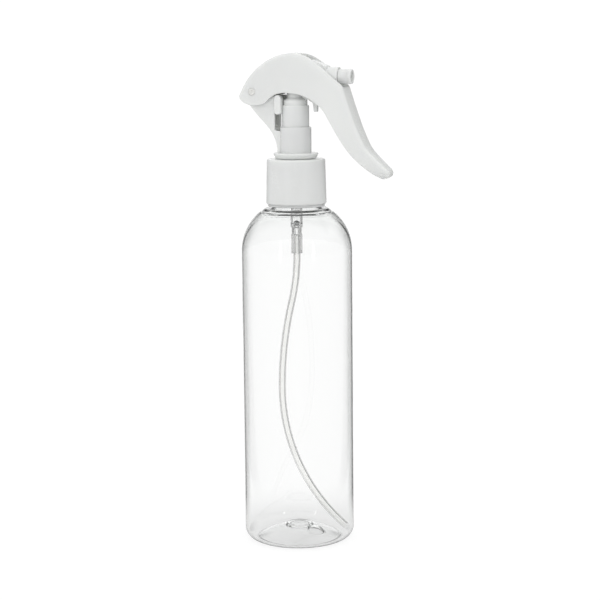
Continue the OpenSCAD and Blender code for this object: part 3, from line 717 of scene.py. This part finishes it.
def make_lever():
    """The lever: an arched channel. Each station joins a place on the back to one on the lower edge, and a
    U-shaped section, crowned and round at its corners, stands on that line. The grid leaves out a slot on
    top for the nozzle, and walls join its skins there."""
    fine = np.linspace(0, LEVER_PAIRS[-1, 0], 4000)
    back_line = cubic(LEVER_BACK, fine)
    slot_rear = fine[np.argmax(back_line[:, 0] > SLOT_REAR_X)]
    slot_low = fine[np.argmax((back_line[:, 1] < SLOT_LOW_Z) & (back_line[:, 0] > 0))]
    # where the stations' spacing changes: rear end, crown, both ends of the slot, tip and its last station
    stops = [0.012, 0.2, slot_rear, slot_low, 4.9, 5.475]
    counts = [8, 44, 40, 60, 22]
    runs = [np.linspace(a, b, n, endpoint=False) for a, b, n in zip(stops, stops[1:], counts)]
    station = np.concatenate([*runs, stops[-1:]])
    rear_row, low_row = sum(counts[:2]), sum(counts[:3])
    back = cubic(LEVER_BACK, station)
    edge = cubic(LEVER_EDGE, np.interp(station, LEVER_PAIRS[:, 0], LEVER_PAIRS[:, 1]))
    depth = np.maximum(np.linalg.norm(back - edge, axis=1, keepdims=True), TINY)
    up = (back - edge) / depth
    opening = np.clip((depth - SOLID_DEPTH) / 2, 0, 1)
    hollow = np.maximum((depth - LEVER_T - 0.1) * opening, np.minimum(0.12, 0.5 * depth))
    half_in = LEVER_HALF - LEVER_T
    y_out, h_out = lever_section(depth, LEVER_HALF, LEVER_CORNER, CROWN)
    y_in, h_in = lever_section(hollow, half_in, 0.25, 0.1)
    round_y = np.array([LEVER_HALF - 0.1, LEVER_HALF - LIP, half_in + LIP, half_in + 0.1])
    rise_out, rise_in = 0.1 * np.clip(depth / 2, 0, 1), 0.1 * np.clip(hollow / 2, 0, 1)
    round_h = np.concatenate([rise_out, 0 * depth, 0 * depth, rise_in], axis=1)
    half_y = np.concatenate([y_out, round_y + 0 * depth, y_in[:, ::-1]], axis=1)
    half_h = np.concatenate([h_out, round_h, h_in[:, ::-1]], axis=1)
    y = np.concatenate([half_y, -half_y[:, -2:0:-1]], axis=1)
    h = np.concatenate([half_h, half_h[:, -2:0:-1]], axis=1)
    place = edge[:, None, :] + h[..., None] * up[:, None, :]
    y = y * lever_narrowing(place[..., 1])
    rows, cols = y.shape
    points = np.stack([place[..., 0], y, place[..., 1]], axis=-1).reshape(-1, 3)
    faces = grid_faces(rows, cols).reshape(rows - 1, cols, 4)
    # the flat of the outer back is the first columns and their mirror; the inner one is mid-loop
    middle, width = half_y.shape[1] - 1, FLAT_COLS
    open_col = np.zeros(cols, bool)
    open_col[:width] = open_col[cols - width:] = open_col[middle - width:middle + width] = True
    slot = np.zeros((rows - 1, cols), bool)
    slot[rear_row:low_row] = open_col
    skin = faces[~slot]
    outer = np.concatenate([np.arange(cols - width, cols), np.arange(width + 1)])
    inner = np.arange(middle + width, middle - width - 1, -1)
    down = np.arange(rear_row, low_row + 1) * cols
    rims = [(down + outer[col], down + inner[col]) for col in (0, -1)]
    rims += [(row * cols + outer, row * cols + inner) for row in (rear_row, low_row)]
    walls = [np.stack([top[:-1], top[1:], under[1:], under[:-1]], axis=1) for top, under in rims]
    caps = np.stack([np.arange(cols)[::-1], (rows - 1) * cols + np.arange(cols)])
    rib = rounded([(0, 215.15, 0.9), (2, 215.15, 0.9), (2, 219.7), (0, 219.7)])
    mesh = fused("trigger_lever", (points, [skin, *walls, caps]), ("UNION", slab(rib, LEVER_HALF - 1.0, 0.2)),
                 ("DIFFERENCE", pin_bore(0.05)))
    piece("trigger_lever", mesh, "lever", ["lever"], white_pp, 32)


# ---- actuator ---------------------------------------------------------------------------------------

BOSS_R, BOSS_END = 4.3, 20.7


def make_actuator():
    """The actuator: a turned skirt and riser, the block that the lever presses, the boss for the nozzle, a
    web with a front finger, and a guide lug on each side."""
    skirt = spun([
        (0, 211.0), (3.8, 211.0, 0.3), (3.8, 201.2, 0.5), (4.4, 201.1, 0.2), (5.4, 200.2, 0.5),
        (5.4, 198.1, 0.25), (6.1, 198.1, 0.4), (6.1, SKIRT_Z, 0.25), (5.2, SKIRT_Z, 0.25), (5.2, 196.4, 0.3),
        (3.2, 196.4, 0.3), (3.2, 188.4, 0.2), (2.02, 188.4, 0.2), (2.02, 199.4, 0.1), (1.3, 199.4, 0.1),
        (1.3, 202.4, 0.1), (0, 202.4)], 96)
    block = rounded([
        (3.4, 205.0, 0.5), (4.6, 207.0, 0.6), (15.6, 207.0, 0.6), (15.6, 215.2, 0.8), (8.5, 218.1, 0.8),
        (7.2, 217.7, 0.6), (4.6, 215.0, 0.8), (-2.6, 215.0, 0.6), (-3.6, 213.8, 0.6), (-3.6, 205.0, 0.5)])
    boss = spun([(0, BOSS_END), (BOSS_R, BOSS_END, 0.25), (BOSS_R, 0.5, 0.6), (0, 0.5)], 72)
    web = rounded([
        (0.5, 208.0), (0.5, 199.4, 0.3), (6.0, 200.6, 0.5), (8.4, 199.0, 0.6), (8.9, 195.1, 0.35),
        (10.5, 195.1, 0.45), (10.8, 208.0, 0.3)])
    lug = rounded([(-8.0, 194.1, 1.5), (-4.9, 194.1, 1.5), (-4.9, 202.65, 1.5), (-8.0, 202.65, 1.5)], steps=8)
    parts = [slab(block, 3.5, 0.4), along_x(boss, 0, NOZZLE_Z), slab(web, 1.0, 0.25),
             slab(lug, 2.1, 0.35, -4.1), slab(lug, 2.1, 0.35, 4.1)]
    socket = along_x(bar(2.71, 22.0, 13.0), 0, NOZZLE_Z)
    mesh = fused("spray_actuator", skirt, *(("UNION", part) for part in parts), ("DIFFERENCE", socket))
    piece("spray_actuator", mesh, "actuator", ["actuator"], white_pp)


def make_nozzle_tip():
    """The nozzle tip: a round cap with a soft front edge, a recess for the orifice cup and a spigot."""
    r, front, seat = NOZZLE_R, NOZZLE_X, BOSS_END + 0.02
    line = rounded([
        (1.9, 13.4, 0.15), (1.9, front - 3.2, 0.1), (2.5, front - 3.2, 0.1), (2.5, front, 0.3),
        (r, front, 0.55), (r, front - 1.6, 0.1), (r - 0.12, front - 1.9, 0.1), (r, front - 2.2, 0.1),
        (r, seat, 0.35), (2.7, seat, 0.1), (2.7, 13.4, 0.3)])
    mesh = mesh_of("nozzle_cap", along_x(turned(line, 72), 0, NOZZLE_Z))
    piece("nozzle_cap", mesh, "actuator", ["nozzle_tip"], white_pp)


def make_return_spring():
    """The return spring: a round wire on a helix whose pitch closes up at both ends."""
    coil_r, wire_r, gap, turns, per_turn, around = 3.1, 0.3, 0.02, 6, 40, 12
    t = np.linspace(0, 1, turns * per_turn + 1)[:, None]
    a = 2 * math.pi * turns * t
    rise = t - np.sin(2 * math.pi * t) / (2 * math.pi) * 0.55
    z = SPRING_LOW + wire_r + gap + (SPRING_TOP - SPRING_LOW - 2 * wire_r - 2 * gap) * rise
    b = np.arange(around)[None, :] * 2 * math.pi / around
    r = coil_r + wire_r * np.cos(b)
    points = np.stack([r * np.cos(a), r * np.sin(a), z + wire_r * np.sin(b)], axis=-1).reshape(-1, 3)
    end = np.arange(around)
    caps = np.stack([end[::-1], len(points) - around + end])
    mesh = mesh_of("return_coil", (points, [grid_faces(len(t), around), caps]))
    coil = piece("return_coil", mesh, "actuator", ["return_spring"], spring_steel)
    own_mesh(coil)


make_bottle()
make_closure()
make_pump_housing()
make_dip_tube()
make_pump_body()
make_hinge_pin()
make_lever()
make_actuator()
make_nozzle_tip()
make_return_spring()

CAD_FINISHES = {
    "gasket": foam,
    "stem_guide": white_pp,
    "orifice_cup": grey_plastic,
    "swirl_plug": white_pp,
    "stem": white_pp,
    "piston": natural_pp,
    "inlet_ball": ball_steel,
    "outlet_ball": ball_steel,
}
for node, finish in CAD_FINISHES.items():
    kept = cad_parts[node].data.materials
    kept.clear()
    kept.append(finish)


# ---- stage, light and camera ------------------------------------------------------------------------

CAMERA_AZIMUTH, CAMERA_PITCH, CAMERA_ROLL = 20.0, 0.1504, -0.0101
CAMERA_PLACE = (0.2576, -0.7044, 0.2239)


def level_ramp(tree, position, stops):
    """Grey levels along a value of 0 to 1: stops are (position, level). Returns a colour."""
    ramp = tree.nodes.new("ShaderNodeValToRGB")
    for place, _ in stops[1:-1]:
        ramp.color_ramp.elements.new(place)
    for stop, (place, level) in zip(ramp.color_ramp.elements, stops):
        stop.position = place
        stop.color = grey(level)
    wire(tree, position, ramp.inputs[0])
    return ramp.outputs[0]


def mixed(tree, share, a, b):
    """A colour between two colours, which are sockets or constants. Returns its output."""
    node = tree.nodes.new("ShaderNodeMix")
    node.data_type = "RGBA"
    wire(tree, share, node.inputs[0])
    feed(tree, a, node.inputs[6])
    feed(tree, b, node.inputs[7])
    return node.outputs[2]


def studio_round():
    """The studio by direction: a bright backdrop behind the object, dark cards just outside it that draw the
    bottle's edges, and paler sides. The cards are low, and above them it is evenly bright."""
    tree, given, result = new_group(
        "studio_round", [("Direction", "Vector", (0, 0, 0))], [("Colour", "Color")])
    split = tree.nodes.new("ShaderNodeSeparateXYZ")
    wire(tree, given.outputs[0], split.inputs[0])
    x, y, z = split.outputs
    turn = math.radians(CAMERA_AZIMUTH)
    side = maths(tree, "ADD", maths(tree, "MULTIPLY", x, math.cos(turn)),
                 maths(tree, "MULTIPLY", y, math.sin(turn)))
    ahead = maths(tree, "ADD", maths(tree, "MULTIPLY", x, -math.sin(turn)),
                  maths(tree, "MULTIPLY", y, math.cos(turn)))
    within = maths(tree, "MAXIMUM", maths(tree, "MINIMUM", side, BOTTLE_R * MM), -BOTTLE_R * MM)
    angle = maths(tree, "ARCTAN2", maths(tree, "SUBTRACT", side, within), ahead)
    share = maths(tree, "MULTIPLY_ADD", angle, 1 / (2 * math.pi), 0.5)
    # degrees from the backdrop, to the right of the camera being positive, and the light there
    panorama = [
        (-180, 0.80), (-145, 0.82), (-60, 0.86), (-50, 0.30), (-21, 0.12), (-16, 1.0), (14, 1.0),
        (19, 0.06), (50, 0.16), (62, 0.70), (145, 0.74), (180, 0.80)]
    low_light = level_ramp(tree, share, [((degrees + 180) / 360, level) for degrees, level in panorama])
    above = clamped(tree, maths(tree, "MULTIPLY_ADD", z, 4.0, -1.2))
    wire(tree, mixed(tree, above, low_light, grey(1.08)), result.inputs[0])
    return tree


def make_floor(studio):
    """A wide round floor that is plain and pale to the camera. In the bottle it shows as a table would, with
    a shade painted round the object's foot that makes it a little darker close by, and with the studio's
    cards standing on it further off."""
    radius, around = 4, 96
    a = np.arange(around) * 2 * math.pi / around
    ring = np.stack([radius * np.cos(a), radius * np.sin(a), 0 * a], axis=1)
    mesh = bpy.data.meshes.new("floor")
    mesh.from_pydata(ring.tolist(), [], [list(range(around))])
    floor = bpy.data.objects.new("floor", mesh)
    link(floor)
    pale, tree, shader = bare_material("pale_floor", {
        "Base Color": grey(0.16), "Roughness": 1.0, "Specular IOR Level": 0.0, "Emission Strength": 0.88})
    place = tree.nodes.new("ShaderNodeTexCoord")
    length = tree.nodes.new("ShaderNodeVectorMath")
    length.operation = "LENGTH"
    wire(tree, place.outputs["Object"], length.inputs[0])
    away = length.outputs["Value"]
    # painted shade: the floor's glow, as the object sees it, is darker close to the origin, as if the object
    # shaded it
    painted_shade_near = level_ramp(tree, maths(tree, "MULTIPLY", away, 2), [
        (0.0, 0.74), (0.06, 0.78), (0.14, 0.90), (0.3, 0.95), (0.8, 0.98)])
    cards = group_node(tree, studio)
    wire(tree, place.outputs["Object"], cards.inputs[0])
    far = clamped(tree, maths(tree, "MULTIPLY_ADD", away, 20.0, -0.8))
    seen = mixed(tree, far, painted_shade_near, cards.outputs[0])
    path = tree.nodes.new("ShaderNodeLightPath")
    wire(tree, mixed(tree, path.outputs["Is Camera Ray"], seen, grey(1)), shader.inputs["Emission Color"])
    mesh.materials.append(pale)


def make_world(studio):
    """A white room all round for the camera, and the studio for everything else."""
    world = bpy.data.worlds.new("studio")
    bpy.context.scene.world = world
    world.use_nodes = True
    tree = world.node_tree
    tree.nodes.clear()
    place = tree.nodes.new("ShaderNodeTexCoord")
    cards = group_node(tree, studio)
    wire(tree, place.outputs["Generated"], cards.inputs[0])
    lit = tree.nodes.new("ShaderNodeBackground")
    wire(tree, cards.outputs[0], lit.inputs["Color"])
    white = tree.nodes.new("ShaderNodeBackground")
    white.inputs["Color"].default_value = grey(1)
    white.inputs["Strength"].default_value = 1.05
    path = tree.nodes.new("ShaderNodeLightPath")
    mix = tree.nodes.new("ShaderNodeMixShader")
    wire(tree, path.outputs["Is Camera Ray"], mix.inputs[0])
    wire(tree, lit.outputs[0], mix.inputs[1])
    wire(tree, white.outputs[0], mix.inputs[2])
    result = tree.nodes.new("ShaderNodeOutputWorld")
    wire(tree, mix.outputs[0], result.inputs["Surface"])


def strip_light(name, degrees, distance, width, height, watts):
    """A tall narrow light that faces the object, degrees round from the camera, kept out of its view."""
    a = math.radians(CAMERA_AZIMUTH + degrees)
    data = bpy.data.lights.new(name, "AREA")
    data.shape = "RECTANGLE"
    data.size, data.size_y, data.energy = width, height, watts
    light = bpy.data.objects.new(name, data)
    light.location = (distance * math.sin(a), -distance * math.cos(a), 0.22)
    light.rotation_euler = (math.radians(90), 0, a)
    light.visible_camera = False
    link(light)


def make_camera():
    """A long-lens camera in front and to the right, looking a little down."""
    data = bpy.data.cameras.new("camera")
    data.lens, data.sensor_width = 100.4, 36.0
    camera = bpy.data.objects.new("camera", data)
    turn = math.radians(CAMERA_AZIMUTH)
    level = math.cos(CAMERA_PITCH)
    ahead = Vector((-math.sin(turn) * level, math.cos(turn) * level, -math.sin(CAMERA_PITCH)))
    camera.rotation_mode = "QUATERNION"
    camera.rotation_quaternion = ahead.to_track_quat("-Z", "Y") @ Quaternion((0, 0, 1), CAMERA_ROLL)
    camera.location = CAMERA_PLACE
    link(camera)
    bpy.context.scene.camera = camera


STUDIO = studio_round()
make_floor(STUDIO)
make_world(STUDIO)
strip_light("left_strip", -35, 1.2, 0.05, 0.9, 0.6)
strip_light("right_strip", 35, 1.2, 0.05, 0.9, 0.6)
make_camera()
bpy.context.scene.view_settings.view_transform = "Standard"
